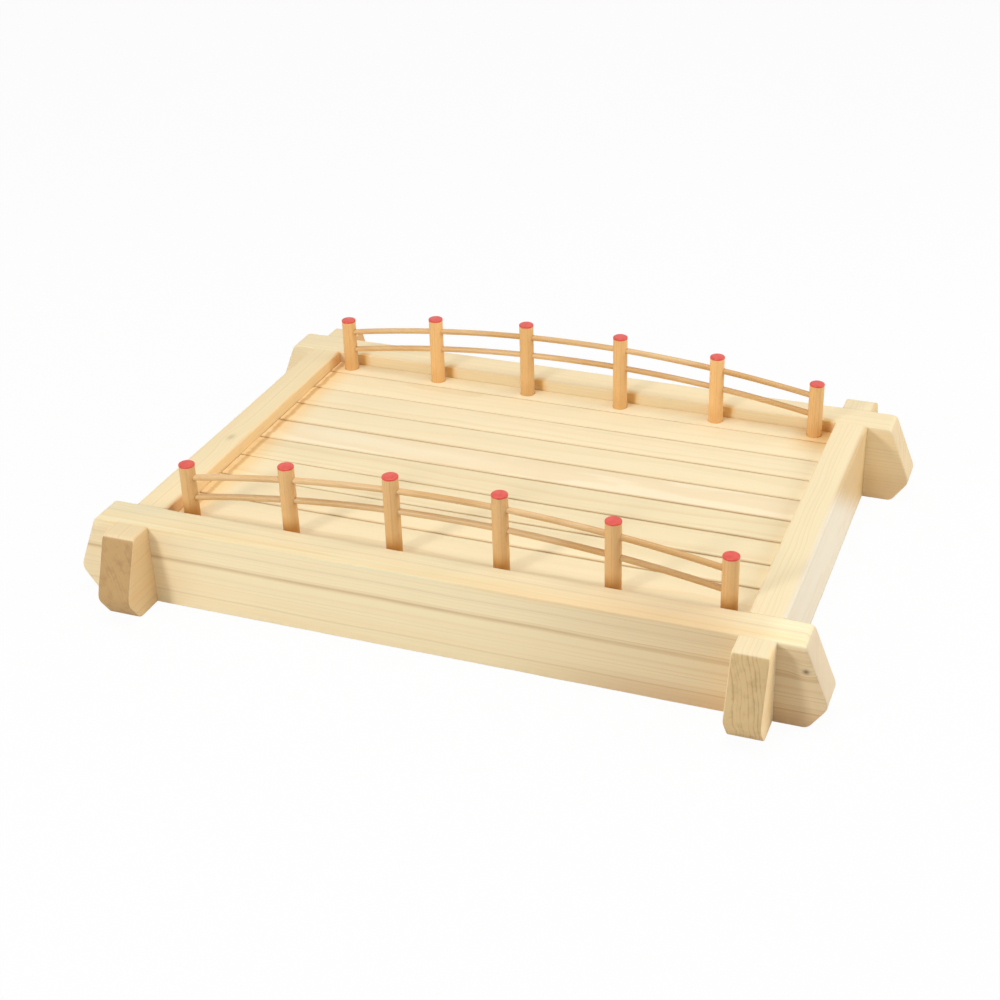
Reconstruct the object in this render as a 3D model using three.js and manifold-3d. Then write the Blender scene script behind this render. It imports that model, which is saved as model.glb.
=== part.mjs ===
// Wooden bridge tray: a halved frame of four shaped beams, a plank deck let in below their tops,
// and two arched balustrades of dowel posts and bamboo rods.
// Millimetres, +Z up, X along the long beams, origin at the bottom centre of the frame.

import * as THREE from 'three';
import { mergeVertices } from 'three/addons/utils/BufferGeometryUtils.js';
import Module from 'manifold-3d';

const wasm = await Module();
wasm.setup();

// Frame, measured between the outer faces of the beams
const frameLength = 400;
const frameDepth = 284;
const beamHeight = 52;
const longBeamThickness = 23;
const sideBeamThickness = 21;
const lapHeight = 26;
const beamEase = 1;

// Beam ends, measured out from the face of the crossing beam and up from the foot
const endTopReach = 15.5;
const endReach = 29;
const endFootReach = 19;
const endNoseFoot = 14;
const endNoseLand = 4;
const endCornerRound = 3;

// Deck: the planks are laid by hand, so each lies a little to the left or right of the middle
const deckRecess = 7.6;
const plankThickness = 7;
const plankPitch = 26.4;
const plankSeam = 1.1;
const plankEndGap = 0.6;
const plankEase = 0.5;
const plankStagger = 0.2;
const staggerTurn = 2.3;

// Cleats and batten that carry the deck
const cleatWidth = 12;
const cleatHeight = 12;

// Posts, seated in blind holes that leave a floor in the edge planks
const postCount = 6;
const postDiameter = 9.6;
const seatFloor = 2.5;
const postBeamGap = 2.3;
const postPlankMargin = 4.8;
const postEndMargin = 7.1;
const postTopEase = 0.6;

// Balustrade heights, one above the other from the deck up, at the end posts where the arch is lowest
const lowerRailLift = 14.5;
const railSpacing = 13.2;
const postHead = 9.4;
const archRise = 15.1;

// Rods
const railDiameter = 3.9;
const railPastAxis = 2.6;

// Clearances of glued joints
const fitGap = 0.25;
const railGap = 0.2;

// Smoothness of curved pieces
const easeSegments = 2;
const cornerSegments = 4;
const postSides = 20;
const railSides = 10;
const railSteps = 24;
const holeSides = 20;

// Places that follow from the sizes
const clearLength = frameLength - 2 * sideBeamThickness;
const clearDepth = frameDepth - 2 * longBeamThickness;
const deckTop = beamHeight - deckRecess;
const deckUnderside = deckTop - plankThickness;
const plankLength = clearLength - 2 * plankEndGap;
const edgePlankWidth = postBeamGap + postDiameter + postPlankMargin;
const postSeat = plankThickness - seatFloor;
const postRow = clearDepth / 2 - postBeamGap - postDiameter / 2;
const postSpan = plankLength - 2 * postEndMargin - postDiameter;
const postPitch = postSpan / (postCount - 1);
const upperRailLift = lowerRailLift + railSpacing;
const endPostHeight = upperRailLift + postHead;
const archRadius = ((postSpan / 2) ** 2 + archRise ** 2) / (2 * archRise);

const beamWood = new THREE.MeshStandardMaterial({ color: 0xf0deb2, roughness: 0.62, metalness: 0 });
const deckWood = new THREE.MeshStandardMaterial({ color: 0xefdcb1, roughness: 0.6, metalness: 0 });
const cleatWood = new THREE.MeshStandardMaterial({ color: 0xe2c892, roughness: 0.7, metalness: 0 });
const postWood = new THREE.MeshStandardMaterial({ color: 0xdba468, roughness: 0.55, metalness: 0 });
const railBamboo = new THREE.MeshStandardMaterial({ color: 0xe6c48f, roughness: 0.45, metalness: 0 });

const tray = new THREE.Group();

function toSolid(geometry) {
  const bare = geometry.clone();
  bare.deleteAttribute('normal');
  bare.deleteAttribute('uv');
  const merged = mergeVertices(bare);
  const vertProperties = new Float32Array(merged.attributes.position.array);
  const triVerts = new Uint32Array(merged.index.array);
  return new wasm.Manifold(new wasm.Mesh({ numProp: 3, vertProperties, triVerts }));
}

function toGeometry(solid) {
  const mesh = solid.getMesh();
  const geometry = new THREE.BufferGeometry();
  geometry.setAttribute('position', new THREE.BufferAttribute(mesh.vertProperties, 3));
  geometry.setIndex(new THREE.BufferAttribute(mesh.triVerts, 1));
  geometry.computeVertexNormals();
  return geometry;
}

function cutAway(geometry, cutters) {
  const solid = cutters.reduce((rest, cutter) => rest.subtract(toSolid(cutter)), toSolid(geometry));
  return toGeometry(solid);
}

function addPiece(name, geometry, material) {
  const piece = new THREE.Mesh(geometry, material);
  piece.name = name;
  tray.add(piece);
  return piece;
}

// The point where a corner's round leaves the side towards a neighbour, within half of that side
function roundStart(corner, neighbour, round) {
  const side = corner.distanceTo(neighbour);
  return corner.clone().lerp(neighbour, Math.min(round, side / 2) / side);
}

// A closed outline whose corners are rounded
function roundedShape(corners, round) {
  const points = corners.map(([x, y]) => new THREE.Vector2(x, y));
  const shape = new THREE.Shape();
  points.forEach((corner, i) => {
    const start = roundStart(corner, points.at(i - 1), round);
    const end = roundStart(corner, points[(i + 1) % points.length], round);
    if (i === 0) {
      shape.moveTo(start.x, start.y);
    } else {
      shape.lineTo(start.x, start.y);
    }
    shape.quadraticCurveTo(corner.x, corner.y, end.x, end.y);
  });
  shape.closePath();
  return shape;
}

// An extrusion of the full thickness, centred on its own middle plane, with eased edges
function easedSlab(shape, thickness, ease) {
  const geometry = new THREE.ExtrudeGeometry(shape, {
    depth: thickness - 2 * ease,
    curveSegments: cornerSegments,
    bevelEnabled: true,
    bevelSize: ease,
    bevelOffset: -ease,
    bevelThickness: ease,
    bevelSegments: easeSegments,
  });
  return geometry.translate(0, 0, ease - thickness / 2);
}

function boxBetween(low, high) {
  const size = new THREE.Vector3().subVectors(high, low);
  const centre = new THREE.Vector3().addVectors(low, high).divideScalar(2);
  return new THREE.BoxGeometry(size.x, size.y, size.z).translate(centre.x, centre.y, centre.z);
}

// One beam lying along X: the outline has shaped ends past the crossing beams, which span crossSpan
// between their outer faces. The notches for the crossing beams run up from the foot or down from the top.
function beamGeometry(crossSpan, crossThickness, thickness, notchedFromTop) {
  const half = crossSpan / 2;
  const rightEnd = [
    [half + endFootReach, 0],
    [half + endReach, endNoseFoot],
    [half + endReach, endNoseFoot + endNoseLand],
    [half + endTopReach, beamHeight],
  ];
  const leftEnd = rightEnd.map(([x, z]) => [-x, z]).reverse();
  const outline = roundedShape([...rightEnd, ...leftEnd], endCornerRound);
  // The eased edges stay inside the round corners of the outline
  const slab = easedSlab(outline, thickness, Math.min(beamEase, endCornerRound / 2)).rotateX(Math.PI / 2);
  const foot = notchedFromTop ? lapHeight - fitGap / 2 : -beamHeight;
  const head = notchedFromTop ? 2 * beamHeight : lapHeight + fitGap / 2;
  const reach = crossThickness / 2 + fitGap;
  const notches = [-1, 1].map((side) => {
    const centre = side * (half - crossThickness / 2);
    return boxBetween(
      new THREE.Vector3(centre - reach, -thickness, foot),
      new THREE.Vector3(centre + reach, thickness, head),
    );
  });
  return cutAway(slab, notches);
}

function addBeams() {
  const longBeam = beamGeometry(frameLength, sideBeamThickness, longBeamThickness, false);
  const sideBeam = beamGeometry(frameDepth, longBeamThickness, sideBeamThickness, true);
  const longPlace = (frameDepth - longBeamThickness) / 2;
  const sidePlace = (frameLength - sideBeamThickness) / 2;
  addPiece('front_beam', longBeam, beamWood).position.y = -longPlace;
  addPiece('back_beam', longBeam.clone(), beamWood).position.y = longPlace;
  [['left_beam', -sidePlace], ['right_beam', sidePlace]].forEach(([name, x]) => {
    const beam = addPiece(name, sideBeam.clone(), beamWood);
    beam.rotation.z = Math.PI / 2;
    beam.position.x = x;
  });
}

// Cleats along the side beams and a batten under the middle, all under the planks
function addCleats() {
  const length = clearDepth - 2 * fitGap;
  const sidePlace = clearLength / 2 - fitGap - cleatWidth / 2;
  const places = [['left_cleat', -sidePlace], ['middle_batten', 0], ['right_cleat', sidePlace]];
  places.forEach(([name, x]) => {
    const cleat = addPiece(name, new THREE.BoxGeometry(cleatWidth, length, cleatHeight), cleatWood);
    cleat.position.set(x, 0, deckUnderside - fitGap - cleatHeight / 2);
  });
}

function postX(index) {
  return index * postPitch - postSpan / 2;
}

// Edges of the planks from back to front: a narrow one under the back posts, full ones, and a wide
// front one that takes what is left
function plankEdges() {
  const backSeam = clearDepth / 2 - edgePlankWidth;
  const fullPlanks = Math.floor((clearDepth - 2 * edgePlankWidth) / plankPitch);
  const seams = Array.from({ length: fullPlanks + 1 }, (_, i) => backSeam - i * plankPitch);
  const beamSide = clearDepth / 2 + plankSeam / 2 - fitGap;
  return [beamSide, ...seams, -beamSide];
}

function plankGeometry(width) {
  const shape = new THREE.Shape();
  shape.moveTo(-plankLength / 2, -width / 2);
  shape.lineTo(plankLength / 2, -width / 2);
  shape.lineTo(plankLength / 2, width / 2);
  shape.lineTo(-plankLength / 2, width / 2);
  shape.closePath();
  return easedSlab(shape, plankThickness, plankEase);
}

// Blind holes for a row of posts, in a plank whose middle lies at the given place
function postHoles(row, plankMiddle) {
  const radius = postDiameter / 2 + fitGap;
  return Array.from({ length: postCount }, (_, i) => {
    const hole = new THREE.CylinderGeometry(radius, radius, 2 * postSeat, holeSides);
    hole.rotateX(Math.PI / 2);
    return hole.translate(postX(i) - plankMiddle.x, row - plankMiddle.y, plankThickness / 2);
  });
}

function addDeck() {
  const edges = plankEdges();
  const last = edges.length - 2;
  edges.slice(1).forEach((frontEdge, i) => {
    const width = edges[i] - frontEdge - plankSeam;
    const middle = new THREE.Vector2(plankStagger * Math.sin(i * staggerTurn), (edges[i] + frontEdge) / 2);
    let geometry = plankGeometry(width);
    if (i === 0) {
      geometry = cutAway(geometry, postHoles(postRow, middle));
    }
    if (i === last) {
      geometry = cutAway(geometry, postHoles(-postRow, middle));
    }
    const plank = addPiece(`deck_plank_${i + 1}`, geometry, deckWood);
    plank.position.set(middle.x, middle.y, deckTop - plankThickness / 2);
  });
}

// Height of the arch above the deck, for a line that lies at the given lift over the end posts
function archHeight(lift, x) {
  return lift + archRise - archRadius + Math.sqrt(archRadius ** 2 - x ** 2);
}

class ArchLine extends THREE.Curve {
  constructor(halfSpan, row, lift) {
    super();
    this.halfSpan = halfSpan;
    this.row = row;
    this.lift = lift;
  }

  getPoint(t, target = new THREE.Vector3()) {
    const x = this.halfSpan * (2 * t - 1);
    return target.set(x, this.row, deckTop + archHeight(this.lift, x));
  }
}

function archedRod(row, lift, diameter, pastAxis) {
  const section = new THREE.Shape();
  section.absarc(0, 0, diameter / 2, 0, 2 * Math.PI);
  return new THREE.ExtrudeGeometry(section, {
    steps: railSteps,
    curveSegments: railSides / 2,
    extrudePath: new ArchLine(postSpan / 2 + pastAxis, row, lift),
  });
}

function postGeometry(x) {
  const radius = postDiameter / 2;
  const foot = deckTop - postSeat + fitGap;
  const head = deckTop + archHeight(endPostHeight, x);
  const profile = [
    new THREE.Vector2(0, foot),
    new THREE.Vector2(radius, foot),
    new THREE.Vector2(radius, head - postTopEase),
    new THREE.Vector2(radius - postTopEase, head),
    new THREE.Vector2(0, head),
  ];
  return new THREE.LatheGeometry(profile, postSides).rotateX(Math.PI / 2);
}

// One balustrade: the rods pass through bores in the inner posts and end inside the outer ones
function addBalustrade(side, row) {
  const rails = [['upper', upperRailLift], ['lower', lowerRailLift]];
  const boreDiameter = railDiameter + 2 * railGap;
  const bores = rails.map(([, lift]) => archedRod(row, lift, boreDiameter, railPastAxis + railGap));
  for (let i = 0; i < postCount; i += 1) {
    const post = postGeometry(postX(i)).translate(postX(i), row, 0);
    addPiece(`${side}_post_${i + 1}`, cutAway(post, bores), postWood);
  }
  rails.forEach(([level, lift]) => {
    addPiece(`${side}_${level}_rail`, archedRod(row, lift, railDiameter, railPastAxis), railBamboo);
  });
}

addBeams();
addCleats();
addDeck();
addBalustrade('front', -postRow);
addBalustrade('back', postRow);

export default tray;
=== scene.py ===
import math
import random

import bmesh
import bpy
from mathutils import Matrix, Vector, noise


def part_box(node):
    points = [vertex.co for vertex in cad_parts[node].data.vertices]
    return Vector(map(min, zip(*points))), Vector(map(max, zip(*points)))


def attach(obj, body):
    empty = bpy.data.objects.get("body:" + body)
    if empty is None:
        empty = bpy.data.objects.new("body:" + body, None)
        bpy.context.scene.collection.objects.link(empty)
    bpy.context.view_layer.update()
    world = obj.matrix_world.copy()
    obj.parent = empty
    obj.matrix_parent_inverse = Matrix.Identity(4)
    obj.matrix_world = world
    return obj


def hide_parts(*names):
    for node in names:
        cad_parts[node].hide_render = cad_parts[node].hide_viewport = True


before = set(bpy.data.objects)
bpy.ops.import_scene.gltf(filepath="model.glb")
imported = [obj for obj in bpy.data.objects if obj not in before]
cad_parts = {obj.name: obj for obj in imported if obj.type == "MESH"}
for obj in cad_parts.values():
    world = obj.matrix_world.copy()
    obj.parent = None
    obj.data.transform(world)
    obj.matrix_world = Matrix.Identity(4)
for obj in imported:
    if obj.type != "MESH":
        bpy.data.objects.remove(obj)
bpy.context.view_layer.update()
scene = bpy.context.scene
scene.view_settings.view_transform = "Standard"
mm = 0.001
print("frame loaded:", len(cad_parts), "nodes")


# Camera

photoView = {
    "azimuth": 19.61,  # degrees round from the front, towards the right
    "elevation": 28.38,
    "roll": -0.68,
    "distance": 1.11058,
    "slide": (0.02715, 0.04471),  # sideways and up in the picture plane
    "focal": 1.72937,  # focal length over the width of the picture
    "middle": (0.55898, 0.46491),  # optical centre, as shares of the picture from its top left
    "sensor": 36,
}


def bearing(azimuth, elevation):
    # the direction from the tray out to the camera or to a lamp
    turn, tilt = math.radians(azimuth), math.radians(elevation)
    return Vector((math.sin(turn) * math.cos(tilt), -math.cos(turn) * math.cos(tilt), math.sin(tilt)))


def addCamera():
    turn, roll = math.radians(photoView["azimuth"]), math.radians(photoView["roll"])
    back = bearing(photoView["azimuth"], photoView["elevation"])
    right = Vector((math.cos(turn), math.sin(turn), 0))
    up = back.cross(right)
    slideRight, slideUp = photoView["slide"]
    eye = back * photoView["distance"] + right * slideRight + up * slideUp
    rolledRight = right * math.cos(roll) + up * math.sin(roll)
    rolledUp = up * math.cos(roll) - right * math.sin(roll)
    data = bpy.data.cameras.new("photo_camera")
    data.sensor_width = photoView["sensor"]
    data.lens = photoView["focal"] * photoView["sensor"]
    data.shift_x = 0.5 - photoView["middle"][0]
    data.shift_y = photoView["middle"][1] - 0.5
    camera = bpy.data.objects.new("photo_camera", data)
    facing = Matrix((rolledRight, rolledUp, back)).transposed().to_4x4()
    camera.matrix_world = Matrix.Translation(eye) @ facing
    scene.collection.objects.link(camera)
    scene.camera = camera


addCamera()
print("camera placed")


# Shader sums

class Wire:
    # a shader socket: an expression on it adds Math nodes
    def __init__(self, recipe, socket):
        self.recipe = recipe
        self.socket = socket

    def beside(self, output):
        return Wire(self.recipe, self.socket.node.outputs[output])

    def swing(self):
        # a noise that runs from nought to one, as a swing about nought
        return self - 0.5

    def __add__(self, other):
        return self.recipe.sum("ADD", self, other)

    def __sub__(self, other):
        return self.recipe.sum("SUBTRACT", self, other)

    def __rsub__(self, other):
        return self.recipe.sum("SUBTRACT", other, self)

    def __mul__(self, other):
        return self.recipe.sum("MULTIPLY", self, other)

    def __truediv__(self, other):
        return self.recipe.sum("DIVIDE", self, other)

    def __pow__(self, other):
        return self.recipe.sum("POWER", self, other)

    def __abs__(self):
        return self.recipe.sum("ABSOLUTE", self)

    __radd__ = __add__
    __rmul__ = __mul__


class Recipe:
    # the nodes that feed the shader of one material or world
    def __init__(self, owner, shader="Principled BSDF"):
        owner.use_nodes = True
        self.owner = owner
        self.tree = owner.node_tree
        self.shader = self.tree.nodes[shader]

    def node(self, kind, settings=None, inputs=None, output=0):
        made = self.tree.nodes.new(kind)
        for name, value in (settings or {}).items():
            setattr(made, name, value)
        for key, value in (inputs or {}).items():
            self.plug(made.inputs[key], value)
        return Wire(self, made.outputs[output])

    def plug(self, socket, value):
        if isinstance(value, Wire):
            self.tree.links.new(value.socket, socket)
        elif socket.type == "RGBA":
            socket.default_value = (*value, 1)
        else:
            socket.default_value = value

    def feed(self, **inputs):
        for name, value in inputs.items():
            self.plug(self.shader.inputs[name.replace("_", " ")], value)

    def sum(self, operation, *terms):
        return self.node("ShaderNodeMath", {"operation": operation}, dict(enumerate(terms)))

    def weigh(self, weights, **patterns):
        # patterns added to a base, each by its own weight
        total = weights.get("base", 0.0)
        for name, pattern in patterns.items():
            total = total + pattern * weights[name]
        return total

    def smooth(self, value, low, high):
        inputs = {"Value": value, "From Min": low, "From Max": high}
        return self.node("ShaderNodeMapRange", {"interpolation_type": "SMOOTHSTEP"}, inputs)

    def bell(self, value, width):
        # one at zero, falling off on both sides
        return self.sum("EXPONENT", (value / width) ** 2 * -1)

    def mix(self, factor, first, second, way="MIX"):
        # a Mix node's colours are its sockets 6 and 7, and its output 2
        settings = {"data_type": "RGBA", "blend_type": way}
        return self.node("ShaderNodeMix", settings, {0: factor, 6: first, 7: second}, 2)

    def tint(self, factor, colour, tint):
        return self.mix(factor, colour, tint, "MULTIPLY")

    def scaled(self, colour, value):
        inputs = {"Vector": colour, "Scale": value}
        return self.node("ShaderNodeVectorMath", {"operation": "SCALE"}, inputs)

    def vector(self, x, y, z):
        return self.node("ShaderNodeCombineXYZ", None, {"X": x, "Y": y, "Z": z})

    def cloud(self, vector, detail=2.0, roughness=0.5):
        inputs = {"Vector": vector, "Scale": 1, "Detail": detail, "Roughness": roughness}
        return self.node("ShaderNodeTexNoise", None, inputs, "Fac")

    def place(self):
        # where a point of the surface lies in the frame, in metres
        spot = self.node("ShaderNodeTexCoord", None, None, "Object")
        x = self.node("ShaderNodeSeparateXYZ", None, {"Vector": spot})
        return x, x.beside("Y"), x.beside("Z")

    def seenRay(self):
        # one for what the camera sees, straight or in a reflection
        ray = self.node("ShaderNodeLightPath", None, None, "Is Camera Ray")
        seen = self.sum("MAXIMUM", ray, ray.beside("Is Glossy Ray"))
        return self.sum("MAXIMUM", seen, ray.beside("Is Transmission Ray"))

    def bump(self, height, depth, strength=0.5):
        inputs = {"Height": height, "Distance": depth, "Strength": strength}
        self.feed(Normal=self.node("ShaderNodeBump", None, inputs, "Normal"))


# Wood

ringWander = {  # how the rings stray from true circles, with lengths and widths in millimetres
    "drift": {"length": 260, "width": 55, "detail": 1},
    "ripple": {"length": 60, "width": 14, "shift": 7},
}

pine = {
    "early": (0.935, 0.785, 0.50),
    "late": (0.80, 0.575, 0.285),
    "blush": (0.93, 0.73, 0.44),  # pinkish sapwood that comes and goes
    "line": (0.58, 0.385, 0.19),  # a resin-dark ring
    "knot": (0.20, 0.13, 0.075),
    "ringSpread": (11, 2.2),  # rings come closer and wider: over so many millimetres, by so many rings
    "lateShare": 0.45,
    "lateEdge": 0.93,
    "ringRank": (0.18, 1.6),  # how dark the faintest ring is beside the darkest, and how few are dark
    "blushRange": (0.45, 0.75),
    "lineFade": {"base": 0.45, "fade": 0.8},
    "endFacing": (0.55, 0.8),  # how far a face turns to the end before it shows end grain
    "endSpeck": 0.5,
    "grain": {
        "fibre": {"length": 34, "width": 0.32, "detail": 3, "roughness": 0.6, "shift": 3},
        "broad": {"length": 150, "width": 5, "shift": 11},
        "patch": {"length": 120, "width": 30, "detail": 1, "shift": 17},
        "speck": {"length": 1.5, "width": 0.5, "shift": 29},
        "fade": {"length": 45, "width": 60},
    },
    "shade": {"base": 0.93, "fibre": 0.1, "patch": 0.07},
    "rough": {"base": 0.62, "rings": -0.1, "fibre": 0.12, "ends": 0.12},
    "relief": {"rings": 0.35, "fibre": 0.6, "specks": 0.6},
    "grainDepth": 0.12 * mm,
    "gloss": 0.42,
}

plainEnd = {"early": (0.74, 0.535, 0.275), "late": (0.50, 0.315, 0.13)}

plainLook = {  # what a board has unless its own look says otherwise
    "knots": (),
    "washes": (),
    "lines": (),
    "drift": 1.5,
    "ripple": 0.5,
    "ringPitch": 2.3,
    "ringShow": 0.55,
    "blushShow": 0.5,
    "tone": 1.0,
    "ends": (plainEnd, plainEnd),
    "endShow": 1.0,
    "endMottle": 0.3,
}

woodTint = {  # what a wash multiplies the wood's colour by
    "heart": (1.04, 0.83, 0.57),  # orange wood towards the middle of the tree, and painted shade on the left beam's inner face
    # streak: tone, and on the back beam's right end and along the planks' left ends, painted shade
    "streak": (0.99, 0.86, 0.68),
    # paler: random tone on the planks, and painted light on the right beam's outer face
    "bleached": (0.97, 1.03, 1.26),
    "shaded": (0.80, 0.726, 0.67),
    # painted shade: deep shade in corners and where the light falls off
    "ruddy": (0.77, 0.60, 0.48),
    "seam": (0.66, 0.50, 0.32),
    # lighter: on the right beam's outer face this is painted light
    "clean": (1.1, 1.16, 1.2),
    "warm": (1.12, 1.0, 0.86),
    # tan: a darker streak on the right beam, and painted shade in the deck's back right corner
    "tan": (0.8, 0.6, 0.333),
    "dull": (0.95, 0.98, 0.99),
    # painted cast shade: the back posts' shadows on the back beam, and the left beam's shadow on the deck
    "glue": (0.9, 0.7, 0.42),
}


class Lumber(Recipe):
    # wood with rings that are cylinders about a pith line, in millimetres of the frame
    def __init__(self, name, axis, seed, pith=(0, 0)):
        super().__init__(bpy.data.materials.new(name))
        self.axis = axis
        self.seed = seed
        self.pith = pith
        parts = {letter: part / mm for letter, part in zip("xyz", self.place())}
        order = {"x": "xyz", "y": "yxz", "z": "zxy"}[axis]
        self.along, self.across, self.rise = (parts[letter] for letter in order)

    def streak(self, length, width, detail=2.0, roughness=0.5, shift=0.0):
        vector = self.vector(
            self.along / length + (self.seed + shift),
            self.across / width + (2 * self.seed + shift),
            self.rise / width,
        )
        return self.cloud(vector, detail, roughness)

    def streaks(self, grain, *names):
        return [self.streak(**grain[name]) for name in names]

    def ringRadius(self, drift, ripple, knots=()):
        acrossOff = self.across - self.pith[0]
        riseOff = self.rise - self.pith[1]
        radius = (acrossOff * acrossOff + riseOff * riseOff) ** 0.5
        radius = radius + self.streak(**ringWander["drift"]).swing() * (2 * drift)
        radius = radius + self.streak(**ringWander["ripple"]).swing() * (2 * ripple)
        for knot in knots:
            radius = radius + self.nearKnot(knot, knot["swirl"]) * knot["push"]
        return radius

    def nearKnot(self, knot, reach):
        along, across, rise = knot["at"]
        far = (self.along - along) / knot["stretch"]
        side = self.across - across
        height = self.rise - rise
        distance = (far * far + side * side + height * height) ** 0.5
        return self.bell(distance, reach)

    def ringLines(self, radius, pitch):
        length, spread = pine["ringSpread"]
        inputs = {"W": radius / length + self.seed, "Scale": 1, "Detail": 1}
        uneven = self.node("ShaderNodeTexNoise", {"noise_dimensions": "1D"}, inputs, "Fac")
        turns = radius / pitch + uneven * spread
        band = self.sum("FRACT", turns)
        edge = pine["lateEdge"]
        dark = self.smooth(band, 1 - pine["lateShare"], edge) * (1 - self.smooth(band, edge, 1.0))
        number = self.sum("FLOOR", turns) + self.seed
        rank = self.node("ShaderNodeTexWhiteNoise", {"noise_dimensions": "1D"}, {"W": number})
        faintest, bend = pine["ringRank"]
        return dark * (faintest + (1 - faintest) * rank ** bend)

    def washMask(self, wash, wave):
        # where a wash lies along, across and up the wood:
        # it comes in between two places, and may go out again between two more
        mask = wash["show"]
        for way, value in (("along", self.along), ("across", self.across), ("rise", self.rise)):
            if way in wash:
                value = value + wave * wash.get("wave", 0.0)
                if way == "along" and "lean" in wash:
                    # the edge leans as it rises, and strays along the grain
                    slope, stray = wash["lean"]
                    value = value + self.rise * slope + wave * stray
                start, full, *fade = wash[way]
                mask = mask * self.smooth(value, start, full)
                if fade:
                    mask = mask * self.smooth(value, fade[1], fade[0])
        return mask

    def endMask(self):
        normal = self.node("ShaderNodeTexCoord", None, None, "Normal")
        parts = self.node("ShaderNodeSeparateXYZ", None, {"Vector": normal})
        facing = abs(parts.beside(self.axis.upper()))
        return self.smooth(facing, *pine["endFacing"])


def paleWood(name, ownLook):
    look = {**plainLook, **ownLook}
    wood = Lumber(name, look["axis"], look["seed"], look["pith"])
    radius = wood.ringRadius(look["drift"], look["ripple"], look["knots"])
    rings = wood.ringLines(radius, look["ringPitch"])
    fibre, broad, patch, speck = wood.streaks(pine["grain"], "fibre", "broad", "patch", "speck")
    wave = broad.swing()

    ringShow = look["ringShow"]
    if "ringMore" in look:
        ringShow = ringShow + wood.washMask(look["ringMore"], wave)
    colour = wood.mix(rings * ringShow, pine["early"], pine["late"])
    blush = wood.smooth(broad, *pine["blushRange"])
    colour = wood.mix(blush * look["blushShow"], colour, pine["blush"])
    for wash in look["washes"]:
        colour = wood.tint(wood.washMask(wash, wave), colour, woodTint[wash["tint"]])
    for line in look["lines"]:
        lineRadius = math.dist(line["at"], look["pith"])
        fade = wood.streak(**pine["grain"]["fade"], shift=lineRadius)
        mark = wood.bell(radius - lineRadius, line["width"]) * wood.weigh(pine["lineFade"], fade=fade)
        colour = wood.mix(mark * line["show"], colour, pine["line"])

    # end grain: the same rings, darker and speckled, in a colour of its own at either end
    ends = wood.endMask()
    mottle = speck.swing() * pine["endSpeck"] + wave * look["endMottle"]
    endRings = wood.sum("MAXIMUM", rings * look["endShow"] + mottle, 0)
    endRings = wood.sum("MINIMUM", endRings, 1)
    lowEnd, highEnd = (wood.mix(endRings, end["early"], end["late"]) for end in look["ends"])
    colour = wood.mix(ends, colour, wood.mix(wood.smooth(wood.along, -1, 1), lowEnd, highEnd))

    for knot in look["knots"]:
        colour = wood.mix(wood.nearKnot(knot, knot["size"]) * knot["show"], colour, pine["knot"])
    shade = wood.weigh(pine["shade"], fibre=fibre, patch=patch)
    wood.feed(Base_Color=wood.scaled(colour, look["tone"] * shade))
    wood.feed(Roughness=wood.weigh(pine["rough"], rings=rings, fibre=fibre.swing(), ends=ends))
    relief = wood.weigh(pine["relief"], rings=rings, fibre=fibre, specks=speck * ends)
    wood.bump(relief, pine["grainDepth"])
    wood.feed(Specular_IOR_Level=pine["gloss"])
    return wood.owner


# Mesh helpers

sharpAngle = math.radians(38)


def addPiece(name, bm, material, slot, *nodes):
    bmesh.ops.recalc_face_normals(bm, faces=bm.faces)
    mesh = bpy.data.meshes.new(name)
    bm.to_mesh(mesh)
    bm.free()
    mesh.materials.append(material)
    mesh.shade_smooth()
    mesh.set_sharp_from_angle(angle=sharpAngle)
    piece = bpy.data.objects.new(name, mesh)
    scene.collection.objects.link(piece)
    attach(piece, "root")
    if nodes:
        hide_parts(*nodes)
    return piece


def cutPiece(piece, bm):
    # takes the closed shapes in bm out of a piece
    bmesh.ops.recalc_face_normals(bm, faces=bm.faces)
    mesh = bpy.data.meshes.new("cutter")
    bm.to_mesh(mesh)
    bm.free()
    cutter = bpy.data.objects.new("cutter", mesh)
    scene.collection.objects.link(cutter)
    piece.modifiers.new("facets", "TRIANGULATE").min_vertices = 5  # the end caps alone
    cut = piece.modifiers.new("cut", "BOOLEAN")
    cut.object = cutter
    cut.solver = "MANIFOLD"
    bpy.context.view_layer.update()
    shaped = bpy.data.meshes.new_from_object(piece.evaluated_get(bpy.context.evaluated_depsgraph_get()))
    shaped.set_sharp_from_angle(angle=sharpAngle)
    piece.modifiers.clear()
    piece.data = shaped
    bpy.data.objects.remove(cutter)


def midway(low, high):
    return [(a + b) / 2 for a, b in zip(low, high)]


def closeRings(bm, rings):
    # a closed skin over rings of points
    for first, second in zip(rings, rings[1:]):
        count = len(first)
        for i in range(count):
            j = (i + 1) % count
            bm.faces.new((first[i], first[j], second[j], second[i]))
    bm.faces.new(rings[0])
    bm.faces.new(rings[-1])


def addSpun(bm, profile, sides, x, y, swell=None):
    # a closed turned solid: the profile runs from foot to head as radius and height
    rings = []
    for radius, height in profile:
        ring = []
        for k in range(sides):
            angle = 2 * math.pi * k / sides
            r = radius * (1 + (swell(angle, height) if swell else 0))
            ring.append(bm.verts.new((x + r * math.cos(angle), y + r * math.sin(angle), height)))
        rings.append(ring)
    closeRings(bm, rings)


def roundCorner(before, corner, after, reach, steps):
    # a curved corner: points with their outward normals
    def leg(other):
        side = (other - corner).length
        return corner.lerp(other, min(reach, side / 2) / side)

    start, end = leg(before), leg(after)
    points = []
    for k in range(steps + 1):
        t = k / steps
        point = start.lerp(corner, t).lerp(corner.lerp(end, t), t)
        heading = (corner - start).lerp(end - corner, t).normalized()
        points.append((point, Vector((heading.y, -heading.x))))
    return points


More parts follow.
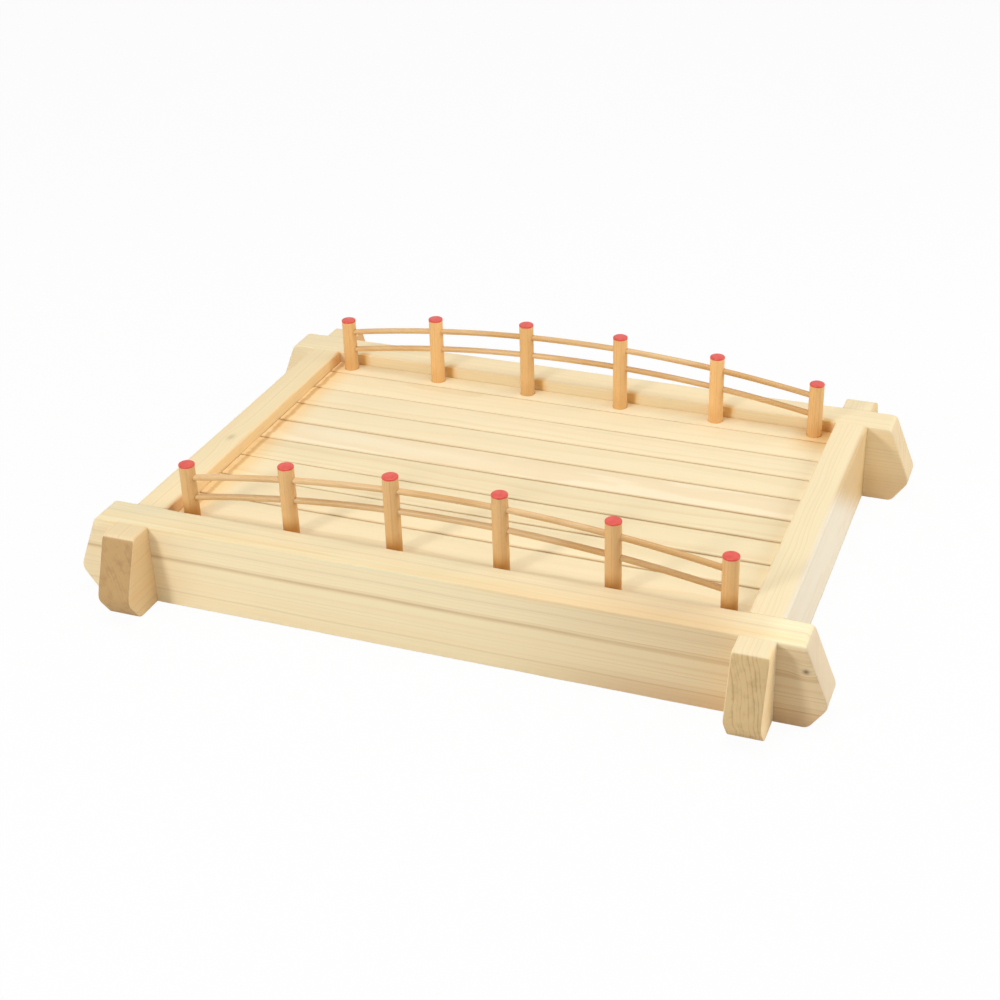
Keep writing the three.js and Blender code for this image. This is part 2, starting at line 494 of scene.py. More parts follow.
def roundCorners(corners, shape):
    rounds = []
    for i, corner in enumerate(corners):
        before, after = corners[i - 1], corners[(i + 1) % len(corners)]
        rounds.append(roundCorner(before, corner, after, shape["cornerRound"], shape["cornerSteps"]))
    return rounds


def straightRun(first, last, spacing):
    # points between two ends, with the normal of the run
    heading = (last - first).normalized()
    normal = Vector((heading.y, -heading.x))
    count = max(1, round((last - first).length / spacing))
    return [(first.lerp(last, k / count), normal) for k in range(1, count)]


def boardOutline(low, high, shape):
    # the plan of a board between two corners, with its own corners rounded
    plan = ((low.x, low.y), (high.x, low.y), (high.x, high.y), (low.x, high.y))
    rounds = roundCorners([Vector(corner) for corner in plan], shape)
    outline = []
    for i, points in enumerate(rounds):
        following = rounds[(i + 1) % len(rounds)]
        outline += points
        outline += straightRun(points[-1][0], following[0][0], shape["spacing"])
    return outline


def easedSlab(outline, thickness, ease, steps, toFrame):
    # an outline of points and normals, drawn through the thickness, with worn round edges
    bm = bmesh.new()
    rings = []
    for side in (1, -1):
        sideRings = []
        for k in range(steps + 1):
            turn = math.pi / 2 * k / steps
            ring = []
            for point, normal in outline:
                worn = ease(point, side)
                inner = point - normal * worn * (1 - math.sin(turn))
                depth = thickness / 2 - worn * (1 - math.cos(turn))
                ring.append(bm.verts.new(toFrame(inner.x, inner.y, side * depth)))
            sideRings.append(ring)
        rings += sideRings if side == 1 else sideRings[::-1]
    closeRings(bm, rings)
    return bm


def layFlat(low, high):
    # for a slab whose outline is its plan
    middle = midway(low, high)[2]

    def toFrame(x, y, depth):
        return (x, y, middle + depth)

    return toFrame


# Beams

beamShape = {
    "topReach": 15.5 * mm,  # how far the ends stand out past the crossing beam, at the top edge
    "reach": 29 * mm,
    "footReach": 19 * mm,
    "noseFoot": 14 * mm,
    "noseLand": 4 * mm,
    "cornerRound": 3 * mm,
    "cornerSteps": 6,
    "lapHeight": 26 * mm,
    "lapGap": 0.05 * mm,
    "ease": 1.0 * mm,
    "jointEase": 0.12 * mm,  # on the top edges where a crossing beam meets them
    "easeSteps": 4,
    "wear": 0.45,  # share by which the eased edges vary
    "wearLength": 22 * mm,
    "spacing": 5 * mm,
}

beamLooks = {
    "front_beam": {
        "axis": "x",
        "pith": (-60, -60),
        "seed": 3.1,
        "drift": 0.7,
        "ripple": 0.45,
        "ringShow": 0.5,
        "ringMore": {"along": (60, 200), "rise": (51.8, 49.5), "show": 0.6},
        "washes": [
            {"along": (0, 190), "rise": (52.5, 49.5), "tint": "shaded", "show": 0.85},
            {"along": (60, 150, 155, 190), "rise": (49.5, 51.8), "tint": "shaded", "show": 0.6},
            # painted shade: the front face darker and redder towards its lower right, where the light falls
            # off
            {"along": (20, 170), "rise": (17, 5), "wave": 8, "tint": "ruddy", "show": 0.55},
            {"along": (-140, -175), "rise": (50, 44), "tint": "shaded", "show": 0.3},
            {"along": (70, 10), "rise": (49, 51.5), "tint": "dull", "show": 1.0},
            {"along": (186, 202), "rise": (47, 51), "tint": "clean", "show": 1.0},
            {"rise": (50, 51.8), "across": (-128, -137), "wave": 14, "tint": "streak", "show": 0.55},
        ],
        "lines": [  # across and up, on the front face
            {"at": (-142, 32.5), "width": 0.85, "show": 0.75},
            {"at": (-142, 43), "width": 0.4, "show": 0.3},
            {"at": (-142, 9.5), "width": 0.5, "show": 0.15},
        ],
        "knots": [
            {"at": (216.3, -142, 36.4), "size": 1.5, "stretch": 1.2, "swirl": 5, "push": 2.0, "show": 0.95},
        ],
        "endShow": 0.5,
        "ends": (
            {"early": (0.60, 0.425, 0.24), "late": (0.46, 0.31, 0.155)},
            {"early": (0.85, 0.68, 0.46), "late": (0.72, 0.53, 0.31)},
        ),
    },
    "back_beam": {
        "axis": "x",
        "pith": (165, -70),
        "seed": 9.4,
        "ringShow": 0.5,
        "tone": 0.985,
        "washes": [
            # painted shade on the front face of the back beam's right end, behind the right beam
            {"along": (196, 204), "rise": (51.5, 48), "tint": "streak", "show": 0.5},
            {"along": (196, 204), "rise": (30, 6), "wave": 12, "tint": "ruddy", "show": 0.4},
            {  # painted shade in the right inner corner, beside the last post
                "along": (168, 174, 181, 186),
                "across": (126, 120),
                "rise": (52, 46),
                "tint": "ruddy",
                "show": 0.8,
            },
        ],
        "glue": {  # painted shadow of each post, right of it on the inner face, above the deck
            "reach": (2, 5, 7, 13),
            "across": (126, 120),
            "rise": (42, 44.5),
            "wave": 5,
            "tint": "glue",
            "show": 1.0,
        },
        "ends": (
            {"early": (0.76, 0.55, 0.29), "late": (0.55, 0.35, 0.15)},
            {"early": (0.86, 0.67, 0.41), "late": (0.68, 0.47, 0.22)},
        ),
    },
    "left_beam": {
        "axis": "y",
        "pith": (-275, -25),
        "seed": 14.7,
        "ringShow": 0.4,
        "tone": 0.99,
        "washes": [
            {"tint": "streak", "show": 0.2},
            # the inner face: orange, partly heartwood and partly painted shade
            {"across": (-183, -178), "wave": 3, "tint": "heart", "show": 0.55},
            # painted shade in the inner face's front corner, by the front beam
            {"across": (-183, -178), "along": (-90, -106, -118, -124), "tint": "ruddy", "show": 0.9},
            # painted shade at the inner face's back end, by the back post and beam
            {"across": (-183, -178), "along": (95, 118), "tint": "heart", "show": 0.7},
            {"across": (-183, -178), "along": (109, 117), "tint": "ruddy", "show": 0.6},
            {"along": (-125, -140), "tint": "shaded", "show": 0.4},
        ],
        "knots": [
            {"at": (-23.4, -188.5, 52), "size": 2.4, "stretch": 1.6, "swirl": 9, "push": 3.0, "show": 0.3},
        ],
        "endShow": 0.35,
        "endMottle": 1.8,
        "ends": (
            {"early": (0.54, 0.335, 0.14), "late": (0.36, 0.20, 0.075)},
            {"early": (0.68, 0.48, 0.24), "late": (0.46, 0.28, 0.11)},
        ),
    },
    "right_beam": {
        "axis": "y",
        "pith": (95, 12),
        "seed": 21.9,
        "drift": 2.5,
        "ripple": 2.0,
        "ringPitch": 2.2,
        "ringShow": 0.32,
        "tone": 0.985,
        "washes": [
            # painted light and reflection of the white surroundings on the outer face
            {"across": (196, 199.5), "along": (-150, -136), "tint": "bleached", "show": 0.9},
            {"across": (196, 199.5), "along": (-142, -150), "tint": "warm", "show": 1.0},
            {"across": (196, 199.5), "along": (85, 122), "lean": (1.63, 24), "tint": "tan", "show": 0.9},
            # painted light on the outer face where the back beam's end shades it
            {"across": (196, 199.5), "along": (100, 113), "tint": "clean", "show": 1.0},
        ],
        "endShow": 0.6,
        "endMottle": 1.4,
        "ends": (
            {"early": (0.71, 0.505, 0.245), "late": (0.44, 0.275, 0.11)},
            {"early": (0.74, 0.54, 0.28), "late": (0.55, 0.36, 0.16)},
        ),
    },
}


def notchedRun(first, last, halfSpan, crossing, level):
    # a long edge with the two halving notches in it
    heading = 1 if last.x > first.x else -1
    normal = Vector((0, -heading))
    still = Vector((0, 0))
    reach = crossing / 2 + beamShape["lapGap"]
    run = []
    start = first
    for side in (-heading, heading):
        middle = side * (halfSpan - crossing / 2)
        mouthIn = Vector((middle - heading * reach, first.y))
        mouthOut = Vector((middle + heading * reach, first.y))
        run += straightRun(start, mouthIn, beamShape["spacing"])
        run.append((mouthIn, normal))
        run.append((Vector((mouthIn.x, level)), still))
        run.append((Vector((mouthOut.x, level)), still))
        run.append((mouthOut, normal))
        start = mouthOut
    return run + straightRun(start, last, beamShape["spacing"])


def beamOutline(halfSpan, crossing, height, notchFromTop):
    shape = beamShape
    rightEnd = [
        Vector((halfSpan + shape["footReach"], 0)),
        Vector((halfSpan + shape["reach"], shape["noseFoot"])),
        Vector((halfSpan + shape["reach"], shape["noseFoot"] + shape["noseLand"])),
        Vector((halfSpan + shape["topReach"], height)),
    ]
    leftEnd = [Vector((-p.x, p.y)) for p in reversed(rightEnd)]
    rounds = roundCorners(rightEnd + leftEnd, shape)
    topRun, footRun = len(rightEnd) - 1, len(rounds) - 1
    notched = topRun if notchFromTop else footRun
    notchLevel = shape["lapHeight"] + (-1 if notchFromTop else 1) * shape["lapGap"] / 2
    outline = []
    for i, points in enumerate(rounds):
        outline += points
        first, last = points[-1][0], rounds[(i + 1) % len(rounds)][0][0]
        if i == notched:
            outline += notchedRun(first, last, halfSpan, crossing, notchLevel)
        else:
            outline += straightRun(first, last, shape["spacing"])
    return outline


def postSpots(side):
    # the posts of one row from left to right, each with its box
    names = sorted(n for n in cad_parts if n.startswith(side + "_post_"))
    return [(name, *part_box(name)) for name in names]


def castShadeWashes(glue):
    # painted shadows of the back posts, right of each on the back beam's inner face
    washes = []
    for _, low, high in postSpots("back"):
        middle = midway(low, high)[0] / mm
        washes.append(dict(glue, along=[middle + reach for reach in glue["reach"]]))
    return washes


def addBeam(name, crossingNames):
    look = dict(beamLooks[name])
    low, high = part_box(name)
    runsAcross = look["axis"] == "x"  # from left to right, like the front and back beams
    lengthways = 0 if runsAcross else 1
    sideways = 1 - lengthways
    crossBoxes = [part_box(n) for n in crossingNames]
    halfSpan = max(box[1][lengthways] for box in crossBoxes)
    crossing = crossBoxes[0][1][lengthways] - crossBoxes[0][0][lengthways]
    thickness = high[sideways] - low[sideways]
    centre = midway(low, high)[sideways]

    def ease(point, side):
        joined = halfSpan - crossing < abs(point.x) < halfSpan
        if joined and runsAcross and point.y > high.z / 2:
            return beamShape["jointEase"]
        where = Vector((point.x, point.y, side * thickness)) / beamShape["wearLength"]
        wear = noise.noise(where + Vector((look["seed"], 0, 0)))
        return beamShape["ease"] * (1 + beamShape["wear"] * wear)

    def toFrame(along, height, depth):
        return (along, centre - depth, height) if runsAcross else (centre + depth, along, height)

    outline = beamOutline(halfSpan, crossing, high.z, notchFromTop=not runsAcross)
    bm = easedSlab(outline, thickness, ease, beamShape["easeSteps"], toFrame)
    # the back beam takes the painted shadows of the back posts
    if "glue" in look:
        look["washes"] = look["washes"] + castShadeWashes(look["glue"])
    addPiece(name + "_wood", bm, paleWood(name + "_pine", look), "beam_wood", name)


longBeams = ("front_beam", "back_beam")
sideBeams = ("left_beam", "right_beam")
for beamName in longBeams:
    addBeam(beamName, sideBeams)
for beamName in sideBeams:
    addBeam(beamName, longBeams)
print("beams shaped")


# Deck planks

plankShape = {
    "cornerRound": 0.8 * mm,
    "cornerSteps": 3,
    "ease": 0.55 * mm,
    "endEase": 0.15 * mm,  # on the ends, which fit closely
    "easeSteps": 3,
    "wear": 0.5,
    "wearLength": 22 * mm,
    "wander": 0.18 * mm,  # how far the long edges stray from straight
    "wanderLength": 45 * mm,
    "edgesApart": 90,  # how unlike the two edges are, for each metre between them
    "spacing": 7 * mm,
    "endReach": 0.3 * mm,  # the boards run on so far towards the side beams
    "holeGap": 0.2 * mm,
    "holePast": 5 * mm,  # how far the cut runs on above the plank
    "holeSides": 32,
}

plankLook = {
    "seed": 31,
    "seedStep": 5.7,
    "tones": (1.01, 1.02, 1.01, 1.0, 1.04, 0.97, 1.0, 1.0, 0.97),  # from the back plank to the front one
    "bleach": (0.1, 0.1, 0.15, 0.1, 0.35, 0, 0, 0, 0),
    "seamReach": 1.8,  # how far in from its long edges a plank is darker
    "seams": (  # how dark each seam is at its left and right end, from the back
        (0.15, 0.0),
        (0.0, 0.2),
        (0.15, 0.28),
        (0.4, 0.35),
        (0.25, 0.6),
        (0.0, 0.55),
        (0.05, 0.55),
        (0.35, 0.55),
    ),
    "seamEnds": 150,
    "endShade": {  # painted shadow of the left beam on the deck, by the planks' left ends
        "reach": (2.6, 5.4),  # how far in from the planks' ends, at the back and at the front
        "line": (3, 0.5, -0.5, -2.2),  # a dark line about that place
        "lineShow": 0.62,
        "fade": (18, 1),  # the shadow's tan band that fades out on the plank
        "wave": 4,
    },
    "corner": {  # painted shade in the back right corner of the deck, by the last post and the right beam
        "along": (147, 171),
        "across": (76, 113),
        "wave": 8,
        "tint": "tan",
        "show": 0.9,
    },
    "pithAcross": 45,  # how far to either side of a plank its pith may lie, in millimetres
    "pithRise": (-150, -45),
    "ringPitch": (2.2, 3.4),
    "drift": 2.6,
    "ripple": 0.7,
    "ringShow": 0.42,
    "blushShow": 0.45,
}


def plankNames():
    names = [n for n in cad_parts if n.startswith("deck_plank_")]
    return sorted(names, key=lambda n: int(n.split("_")[-1]))


def seamWashes(index, nearEdge, farEdge):
    # a plank is darker along its seams, by an amount that changes from end to end
    reach, ends = plankLook["seamReach"], plankLook["seamEnds"]
    seams = plankLook["seams"]
    sides = ((index - 1, farEdge, farEdge - reach), (index, nearEdge, nearEdge + reach))
    washes = []
    for seam, edge, inner in sides:
        if 0 <= seam < len(seams):
            for show, run in zip(seams[seam], ((ends, -ends), (-ends, ends))):
                washes.append({"across": (inner, edge), "along": run, "tint": "seam", "show": show})
    return washes


# painted shadow of the left beam: a dark line and a tan band along each plank's left end
def endWashes(index, leftEnd):
    glue = plankLook["endShade"]
    back, front = glue["reach"]
    edge = leftEnd + back + (front - back) * index / len(plankLook["seams"])
    line = {"along": [edge + off for off in glue["line"]], "tint": "seam", "show": glue["lineShow"]}
    fade = {"along": [edge + off for off in glue["fade"]], "tint": "streak", "show": 1.0}
    return [dict(wash, wave=glue["wave"]) for wash in (line, fade)]


def plankWood(name, index, draw):
    low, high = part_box(name)
    pithAcross = midway(low, high)[1] / mm + draw.uniform(-1, 1) * plankLook["pithAcross"]
    look = dict(plankLook, axis="x")
    look["pith"] = (pithAcross, draw.uniform(*plankLook["pithRise"]))
    look["ringPitch"] = draw.uniform(*plankLook["ringPitch"])
    look["seed"] = plankLook["seed"] + plankLook["seedStep"] * index
    look["tone"] = plankLook["tones"][index % len(plankLook["tones"])]
    bleach = plankLook["bleach"][index % len(plankLook["bleach"])]
    look["washes"] = seamWashes(index, low.y / mm, high.y / mm)
    look["washes"].append({"tint": "bleached", "show": bleach})
    look["washes"] += endWashes(index, low.x / mm)
    # painted shade in the deck's back right corner
    if high.y / mm > plankLook["corner"]["across"][0]:
        look["washes"].append(plankLook["corner"])
    return paleWood(name + "_pine", look)


def boreSeats(plank, low, high):
    # blind holes for the posts that stand on a plank
    gap = plankShape["holeGap"]
    holes = bmesh.new()
    for _, postLow, postHigh in postSpots("front") + postSpots("back"):
        x, y, _ = midway(postLow, postHigh)
        if low.y < y < high.y:
            radius = (postHigh.x - postLow.x) / 2 + gap
            profile = [(radius, postLow.z - gap), (radius, high.z + plankShape["holePast"])]
            addSpun(holes, profile, plankShape["holeSides"], x, y)
    if holes.faces:
        cutPiece(plank, holes)
    else:
        holes.free()


def addPlank(name, index, draw):
    shape = plankShape
    low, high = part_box(name)
    reach = Vector((shape["endReach"], 0, 0))
    outline = []
    for point, normal in boardOutline(low - reach, high + reach, shape):
        where = Vector((point.x / shape["wanderLength"], point.y * shape["edgesApart"], index))
        stray = min(0, noise.noise(where))
        outline.append((point + normal * stray * shape["wander"], normal))

    def ease(point, side):
        if min(point.x - low.x, high.x - point.x) < shape["cornerRound"] / 2:
            return shape["endEase"]
        where = Vector((point.x / shape["wearLength"], point.y * shape["edgesApart"], side + index))
        return shape["ease"] * (1 + shape["wear"] * noise.noise(where))

    bm = easedSlab(outline, high.z - low.z, ease, shape["easeSteps"], layFlat(low, high))
    plank = addPiece(name + "_board", bm, plankWood(name, index, draw), "deck_wood", name)
    boreSeats(plank, low, high)


plankDraw = random.Random(plankLook["seed"])
for plankIndex, plankName in enumerate(plankNames()):
    addPlank(plankName, plankIndex, plankDraw)
print("deck laid")


# Cleats under the deck

cleatShape = {
    "cornerRound": 0.8 * mm,
    "cornerSteps": 2,
    "ease": 0.5 * mm,
    "easeSteps": 2,
    "spacing": 8 * mm,
}

cleatLook = {
    "axis": "y",
    "pithOff": 20,  # from the cleat's left side, in millimetres
    "pithRise": -40,
    "seed": 60.2,
    "tone": 0.84,
    "ringShow": 0.7,
}


def addCleat(name):
    low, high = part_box(name)

    def ease(point, side):
        return cleatShape["ease"]

    outline = boardOutline(low, high, cleatShape)
    bm = easedSlab(outline, high.z - low.z, ease, cleatShape["easeSteps"], layFlat(low, high))
    left = low.x / mm
    look = dict(cleatLook, seed=cleatLook["seed"] + left)
    look["pith"] = (left + cleatLook["pithOff"], cleatLook["pithRise"])
    addPiece(name + "_strip", bm, paleWood(name + "_pine", look), "cleat_wood", name)


for cleatName in ("left_cleat", "middle_batten", "right_cleat"):
    addCleat(cleatName)
print("cleats laid")


# Balustrades

railShape = {
    "rise": 15.1 * mm,  # of the arch, over the span between the end posts
    "steps": 96,
    "sides": 16,
    "unevenness": 0.07,
    "unevenLength": 38 * mm,
    "boreGap": 0.15 * mm,
}

postShape = {
    "sides": 36,
    "rings": 14,
    "edge": 0.6 * mm,
    "edgeSteps": 4,
    "unevenness": 0.006,
    "unevenLength": 9 * mm,
}

paintShape = {
    "sides": 36,
    "film": 0.1 * mm,
    "wrap": 0.55 * mm,  # how far the paint comes down past the rounded edge
    "sag": 0.45,  # share by which its lower rim wanders
    "sagTurns": 2,
    "root": 0.5 * mm,  # how far the coat goes into the post under its rim
    "dome": 0.15 * mm,
    "domeRings": (0.7, 0.4, 0.15),  # as shares of the head's radius
}

balustradeSeeds = {"front": 71.0, "back": 113.0}

dowel = {
    "early": (0.80, 0.49, 0.205),
    "late": (0.62, 0.335, 0.115),
    # the darker foot: partly stain, partly painted contact shade where the post meets the deck
    "foot": (0.54, 0.225, 0.035),
    "pore": (0.42, 0.20, 0.06),
    "tones": {  # from the left post to the right one
        "front": (1.0, 1.04, 1.03, 1.02, 1.03, 1.05),
        "back": (1.14, 1.22, 1.1, 1.16, 1.26, 1.14),
    },
    "seedStep": 3.3,
    "pithOff": (22, -14),
    "ringPitch": 1.5,
    "drift": 1.2,
    "ripple": 0.5,
    "grain": {
        "fibre": {"length": 16, "width": 0.22, "detail": 3, "roughness": 0.6, "shift": 5},
        "pore": {"length": 5, "width": 0.16, "detail": 1, "shift": 9},
        "patch": {"length": 30, "width": 6, "detail": 1, "shift": 13},
    },
    "poreRange": (0.66, 0.74),
    "poreShow": 0.5,
    "lateShow": {"base": -0.16, "rings": 0.5, "patch": 0.4},
    "footFade": (7, 21),  # the foot's darker colour is full up to the first height and gone at the second
    "footShow": {"front": 1.0, "back": 0.25},
    "shade": {"base": 0.92, "fibre": 0.16},
    "rough": {"base": 0.5, "fibre": 0.16, "pore": 0.15},
    "relief": {"fibre": 0.7, "pore": -0.8, "rings": 0.3},
    "grainDepth": 0.08 * mm,
    "gloss": 0.45,
}

bamboo = {
    "pale": (0.78, 0.515, 0.245),
    "warm": (0.66, 0.375, 0.13),
    "bundle": (0.48, 0.26, 0.085),
    "tones": {"front": {"upper": 1.0, "lower": 0.97}, "back": {"upper": 1.0, "lower": 1.03}},
    "seeds": {"upper": 117, "lower": 108},
    "grain": {
        "fibre": {"length": 60, "width": 0.14, "roughness": 0.6, "shift": 3},
        "bundle": {"length": 26, "width": 0.3, "detail": 1, "shift": 8},
        "patch": {"length": 50, "width": 9, "shift": 21},
    },
    "bundleRange": (0.58, 0.7),
    "bundleShow": 0.4,
    "warmRange": (0.35, 0.7),
    "warmer": 0.0006,  # share by which each millimetre to the right is warmer
    "shade": {"base": 0.93, "fibre": 0.14},
    "rough": {"base": 0.42, "fibre": 0.2},
    "relief": {"fibre": 1.0, "bundle": -0.4},
    "grainDepth": 0.05 * mm,
    "gloss": 0.5,
}

lacquer = {
    "red": (0.775, 0.088, 0.058),
    "thin": (0.84, 0.21, 0.145),
    "deep": (0.67, 0.055, 0.04),
    "seed": 2.0,
    "cloud": {"length": 3.2, "width": 3.2, "detail": 3, "roughness": 0.6},
    "stroke": (3, 0.35),  # length and pitch of the brush marks
    "deepRange": (0.35, 0.75),
    "thinRange": (0.6, 0.85),
    "thinShow": 0.45,
    "rough": {"base": 0.36, "brush": 0.2},
    "relief": {"brush": 0.7, "cloud": 0.4},
    "brushDepth": 0.06 * mm,
}


def dowelWood(name, x, y, footHeight, seed, tone, footShow):
    pith = (x / mm + dowel["pithOff"][0], y / mm + dowel["pithOff"][1])
    wood = Lumber(name, "z", seed, pith)
    radius = wood.ringRadius(dowel["drift"], dowel["ripple"])
    rings = wood.ringLines(radius, dowel["ringPitch"])
    fibre, pore, patch = wood.streaks(dowel["grain"], "fibre", "pore", "patch")
    pore = wood.smooth(pore, *dowel["poreRange"])
    late = wood.weigh(dowel["lateShow"], rings=rings, patch=patch)
    colour = wood.mix(late, dowel["early"], dowel["late"])
    # darker towards the foot: partly stain, partly painted contact shade
    low = 1 - wood.smooth(wood.along - footHeight / mm, *dowel["footFade"])
    colour = wood.mix(low * footShow, colour, dowel["foot"])
    colour = wood.mix(pore * dowel["poreShow"], colour, dowel["pore"])
    wood.feed(Base_Color=wood.scaled(colour, tone * wood.weigh(dowel["shade"], fibre=fibre)))
    wood.feed(Roughness=wood.weigh(dowel["rough"], fibre=fibre.swing(), pore=pore))
    wood.bump(wood.weigh(dowel["relief"], fibre=fibre, pore=pore, rings=rings), dowel["grainDepth"])
    wood.feed(Specular_IOR_Level=dowel["gloss"])
    return wood.owner


def rodBamboo(name, seed, tone):
    rod = Lumber(name, "x", seed)
    fibre, bundle, patch = rod.streaks(bamboo["grain"], "fibre", "bundle", "patch")
    bundle = rod.smooth(bundle, *bamboo["bundleRange"])
    warm = rod.smooth(patch + rod.along * bamboo["warmer"], *bamboo["warmRange"])
    colour = rod.mix(warm, bamboo["pale"], bamboo["warm"])
    colour = rod.mix(bundle * bamboo["bundleShow"], colour, bamboo["bundle"])
    rod.feed(Base_Color=rod.scaled(colour, tone * rod.weigh(bamboo["shade"], fibre=fibre)))
    rod.feed(Roughness=rod.weigh(bamboo["rough"], fibre=fibre.swing()))
    rod.bump(rod.weigh(bamboo["relief"], fibre=fibre, bundle=bundle), bamboo["grainDepth"])
    rod.feed(Specular_IOR_Level=bamboo["gloss"])
    return rod.owner


def redLacquer():
    paint = Lumber("red_lacquer", "z", lacquer["seed"])
    cloud = paint.streak(**lacquer["cloud"])
    length, pitch = lacquer["stroke"]
    strokes = paint.vector(paint.across / length, paint.rise / pitch, paint.along / length)
    brush = paint.cloud(strokes, lacquer["cloud"]["detail"], lacquer["cloud"]["roughness"])
    colour = paint.mix(paint.smooth(cloud, *lacquer["deepRange"]), lacquer["red"], lacquer["deep"])
    thin = paint.smooth(brush, *lacquer["thinRange"]) * lacquer["thinShow"]
    paint.feed(Base_Color=paint.mix(thin, colour, lacquer["thin"]))
    paint.feed(Roughness=paint.weigh(lacquer["rough"], brush=brush.swing()))
    paint.bump(paint.weigh(lacquer["relief"], brush=brush, cloud=cloud), lacquer["brushDepth"])
    return paint.owner


def archLine(side, level):
    # the middle line of a rod: an arc over the span between the end posts
    low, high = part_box(side + "_" + level + "_rail")
    ends = [midway(*box)[0] for _, *box in postSpots(side)]
    span = ends[-1] - ends[0]
    arcRadius = ((span / 2) ** 2 + railShape["rise"] ** 2) / (2 * railShape["rise"])
    rodRadius = (high.y - low.y) / 2
    crown = high.z - rodRadius
    points = []
    for k in range(railShape["steps"] + 1):
        x = low.x + (high.x - low.x) * k / railShape["steps"]
        height = crown - arcRadius + math.sqrt(arcRadius ** 2 - x ** 2)
        points.append(Vector((x, midway(low, high)[1], height)))
    return points, rodRadius


def addRod(bm, points, radius, uneven=0.0, seed=0.0):
    sideways = Vector((0, 1, 0))
    rings = []
    for i, point in enumerate(points):
        ahead = points[min(i + 1, len(points) - 1)] - points[max(i - 1, 0)]
        upward = Vector((-ahead.z, 0, ahead.x)).normalized()
        along = point.x / railShape["unevenLength"] + seed
        ring = []
        for k in range(railShape["sides"]):
            angle = 2 * math.pi * k / railShape["sides"]
            outward = sideways * math.cos(angle) + upward * math.sin(angle)
            ripple = noise.noise(Vector((along, math.cos(angle) / 2, math.sin(angle) / 2)))
            ring.append(bm.verts.new(point + outward * radius * (1 + uneven * min(0, ripple))))
        rings.append(ring)
    closeRings(bm, rings)


def roundedHead(radius, head):
    # the rounded edge of a post's head, as radius and height
    edge = postShape["edge"]
    profile = []
    for k in range(postShape["edgeSteps"] + 1):
        turn = math.pi / 2 * k / postShape["edgeSteps"]
        profile.append((radius - edge * (1 - math.cos(turn)), head - edge * (1 - math.sin(turn))))
    return profile


def postProfile(radius, foot, head):
    shaft = head - postShape["edge"] - foot
    count = postShape["rings"]
    return [(radius, foot + shaft * k / count) for k in range(count)] + roundedHead(radius, head)


def addPaint(name, x, y, radius, head, material, seed):
    # a thin coat over the post's head, with an uneven lower rim
    edge, film, turns = postShape["edge"], paintShape["film"], paintShape["sagTurns"]
    columns = []
    for k in range(paintShape["sides"]):
        angle = 2 * math.pi * k / paintShape["sides"]
        wander = noise.noise(Vector((turns * math.cos(angle), turns * math.sin(angle), seed)))
        rim = head - edge - paintShape["wrap"] * (1 + paintShape["sag"] * wander)
        profile = [(radius - paintShape["root"], rim), (radius, rim), (radius + film, rim + film)]
        profile += roundedHead(radius + film, head + film)
        for share in paintShape["domeRings"]:
            rise = paintShape["dome"] * (1 - share ** 2)
            profile.append(((radius - edge) * share, head + film + rise))
        columns.append([(x + r * math.cos(angle), y + r * math.sin(angle), z) for r, z in profile])
    bm = bmesh.new()
    rings = [[bm.verts.new(point) for point in level] for level in zip(*columns)]
    closeRings(bm, rings)
    addPiece(name, bm, material, "red_paint")


def addPost(side, index, spot, lines, paint):
    name, low, high = spot
    x, y, _ = midway(low, high)
    radius = (high.x - low.x) / 2
    seed = balustradeSeeds[side] + dowel["seedStep"] * index

    def swell(angle, height):
        level = height / postShape["unevenLength"] + seed
        return postShape["unevenness"] * noise.noise(Vector((math.cos(angle), math.sin(angle), level)))

    tone, footShow = dowel["tones"][side][index], dowel["footShow"][side]
    material = dowelWood(name + "_dowel", x, y, low.z, seed, tone, footShow)
    bm = bmesh.new()
    addSpun(bm, postProfile(radius, low.z, high.z), postShape["sides"], x, y, swell)
    post = addPiece(name + "_dowel", bm, material, "post_wood", name)
    bores = bmesh.new()
    for points, rodRadius in lines.values():
        addRod(bores, points, rodRadius + railShape["boreGap"])
    cutPiece(post, bores)
    addPaint(name + "_paint", x, y, radius, high.z, paint, seed)


def addBalustrade(side, paint):
    seed = balustradeSeeds[side]
    lines = {level: archLine(side, level) for level in ("upper", "lower")}
    for index, spot in enumerate(postSpots(side)):
        addPost(side, index, spot, lines, paint)
    for level, (points, rodRadius) in lines.items():
        name = side + "_" + level + "_rail"
        bm = bmesh.new()
        addRod(bm, points, rodRadius, railShape["unevenness"], seed)
        tone = bamboo["tones"][side][level]
        material = rodBamboo(name + "_bamboo", seed + bamboo["seeds"][level], tone)
        addPiece(name + "_rod", bm, material, "rail_bamboo", name)


redPaint = redLacquer()
addBalustrade("front", redPaint)
addBalustrade("back", redPaint)
print("balustrades raised")


# Floor and light

studio = {
    "floorSize": 14.0,
    "floorColour": (0.86, 0.86, 0.855),
    "floorRoughness": 0.9,
    "floorGloss": 0.1,
    "floorGlow": 0.955,  # share of plain white that the camera sees in the floor
    "ambient": 0.32,
    "lamps": {  # level is what a white card facing the lamp gives back
        "key": {"azimuth": -26, "elevation": 25, "distance": 1.6, "size": 0.3, "level": 0.31},
        "top": {"azimuth": 0, "elevation": 86, "distance": 1.2, "size": 0.7, "level": 0.45},
        "side": {"azimuth": 108, "elevation": 24, "distance": 1.2, "size": 0.8, "level": 0.34},
    },
}


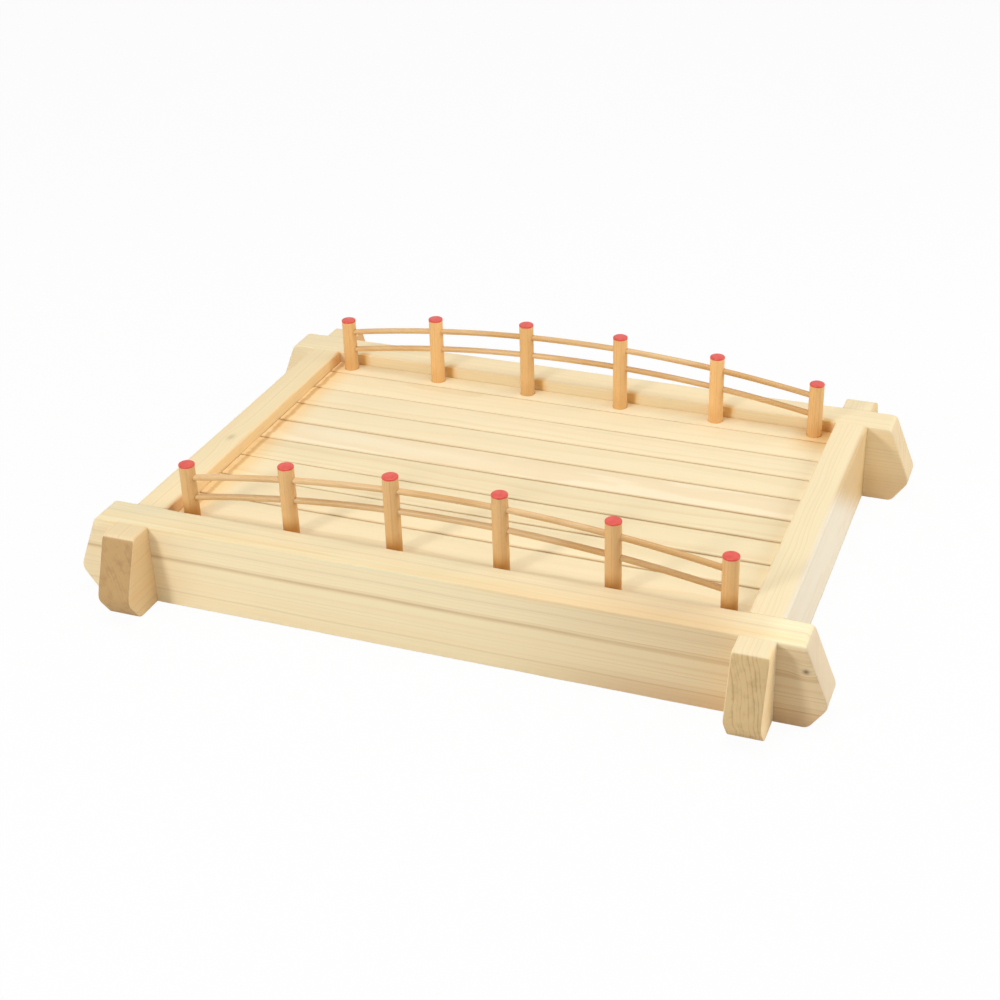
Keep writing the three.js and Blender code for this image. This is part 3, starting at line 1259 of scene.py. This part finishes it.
def floorCard():
    card = Recipe(bpy.data.materials.new("studio_card"))
    card.feed(Base_Color=studio["floorColour"], Roughness=studio["floorRoughness"])
    card.feed(Specular_IOR_Level=studio["floorGloss"])
    body = Wire(card, card.shader.outputs["BSDF"])
    glow = card.node("ShaderNodeEmission", None, {"Color": (1, 1, 1), "Strength": 1.0})
    # no glow between the beams, where the floor shows through the seams alone
    x, y, _ = card.place()
    sideways = abs(x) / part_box("right_beam")[0].x
    lengthways = abs(y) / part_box("back_beam")[0].y
    outside = card.sum("GREATER_THAN", card.sum("MAXIMUM", sideways, lengthways), 1)
    share = card.seenRay() * outside * studio["floorGlow"]
    blend = card.node("ShaderNodeMixShader", None, {0: share, 1: body, 2: glow})
    card.plug(card.tree.nodes["Material Output"].inputs["Surface"], blend)
    return card.owner


def addFloor():
    half = studio["floorSize"] / 2
    mesh = bpy.data.meshes.new("studio_floor")
    corners = [(-half, -half, 0), (half, -half, 0), (half, half, 0), (-half, half, 0)]
    mesh.from_pydata(corners, [], [(0, 1, 2, 3)])
    mesh.materials.append(floorCard())
    floor = bpy.data.objects.new("studio_floor", mesh)
    scene.collection.objects.link(floor)


def addWorld():
    scene.world = bpy.data.worlds.new("studio_white")
    sky = Recipe(scene.world, "Background")
    ambient = studio["ambient"]
    sky.feed(Color=(1, 1, 1), Strength=ambient + sky.seenRay() * (1 - ambient))


def addLamp(name, lamp):
    towards = bearing(lamp["azimuth"], lamp["elevation"])
    data = bpy.data.lights.new(name + "_lamp", "AREA")
    data.shape = "DISK"
    data.size = lamp["size"]
    data.energy = lamp["level"] * math.pi ** 2 * lamp["distance"] ** 2
    light = bpy.data.objects.new(name + "_lamp", data)
    facing = towards.to_track_quat("Z", "Y").to_matrix().to_4x4()
    light.matrix_world = Matrix.Translation(towards * lamp["distance"]) @ facing
    light.visible_camera = False
    scene.collection.objects.link(light)


addFloor()
addWorld()
for lampName, lampValues in studio["lamps"].items():
    addLamp(lampName, lampValues)
print("studio lit")
